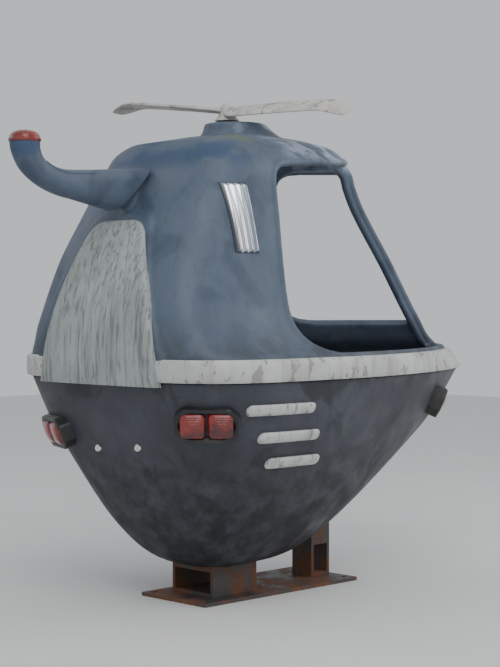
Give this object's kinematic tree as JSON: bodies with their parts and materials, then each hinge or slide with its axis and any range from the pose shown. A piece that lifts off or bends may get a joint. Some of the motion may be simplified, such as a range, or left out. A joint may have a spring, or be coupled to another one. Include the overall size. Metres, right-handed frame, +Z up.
{
  "type": "helicopter shaped fairground ride gondola",
  "caption": "Helicopter-shaped glass-fibre gondola of a fairground ride, with a bench inside, an open doorway with hand hoops and a turning roof rotor.",
  "frame": {"origin": "on the underside of the foot plate, 20 mm ahead of the point straight below the rotor axis", "axes": "+X towards the nose, +Y to port (the doorway side), +Z up along the mast"},
  "size_m": [2.058, 1.0461, 1.6236],
  "materials": {
    "upper_gelcoat": "weathered blue-grey gelcoat with mottled patches",
    "lower_gelcoat": "weathered dark slate gelcoat",
    "interior_gelcoat": "plain grey laminate",
    "white_gelcoat": "chalky white with dark runs",
    "lamp_housing": "satin black",
    "red_lens": "dull red lens",
    "clear_lens": "clouded clear lens",
    "vent_chrome": "dull corrugated chrome",
    "rail_paint": "white enamel on tube",
    "foot_steel": "rusty dark paint",
    "rotor_gelcoat": "chalky white, stained"
  },
  "bodies": {
    "gondola": {"hull_keel": "lower_gelcoat", "hull_rear": "lower_gelcoat", "hull_starboard": "lower_gelcoat", "hull_port": "lower_gelcoat", "hull_bow": "lower_gelcoat", "roof_shell": "upper_gelcoat", "cabin_rear": "upper_gelcoat", "cabin_starboard": "upper_gelcoat", "cabin_port_rear": "upper_gelcoat", "b_pillar": "upper_gelcoat", "port_coaming": "upper_gelcoat", "starboard_sill": "upper_gelcoat", "nose_cowl": "upper_gelcoat", "a_pillar": "upper_gelcoat", "tail_boom": "upper_gelcoat", "mast_fairing": "upper_gelcoat", "floor_panel": "interior_gelcoat", "bench_seat": "interior_gelcoat", "backrest": "interior_gelcoat", "rear_cowl_panel": "white_gelcoat", "belt_starboard": "white_gelcoat", "belt_port_rear": "white_gelcoat", "belt_port_front": "white_gelcoat", "starboard_moulding_1": "white_gelcoat", "starboard_moulding_2": "white_gelcoat", "starboard_moulding_3": "white_gelcoat", "port_moulding_1": "white_gelcoat", "port_moulding_2": "white_gelcoat", "rear_port_lamp_housing": "lamp_housing", "rear_starboard_lamp_housing": "lamp_housing", "front_port_lamp_housing": "lamp_housing", "front_starboard_lamp_housing": "lamp_housing", "rear_port_lamp_lenses": "red_lens", "rear_starboard_lamp_lenses": "red_lens", "tail_lamp": "red_lens", "front_port_lamp_lenses": "clear_lens", "front_starboard_lamp_lenses": "clear_lens", "vent_plate": "vent_chrome", "door_sill_bar": "rail_paint", "front_hoop": "rail_paint", "rear_hoop": "rail_paint", "foot_plate": "foot_steel", "keel_bracket": "foot_steel", "bow_lug": "foot_steel", "mast_spindle": "foot_steel"},
    "rotor": {"rotor_hub": "rotor_gelcoat", "rotor_blade_1": "rotor_gelcoat", "rotor_blade_2": "rotor_gelcoat"}
  },
  "joints": [
    {"name": "rotor_spin", "type": "hinge", "parent": "gondola", "child": "rotor", "pos_m": [-0.02, 0, 1.568], "axis": [0, 0, 1], "continuous": true}
  ]
}
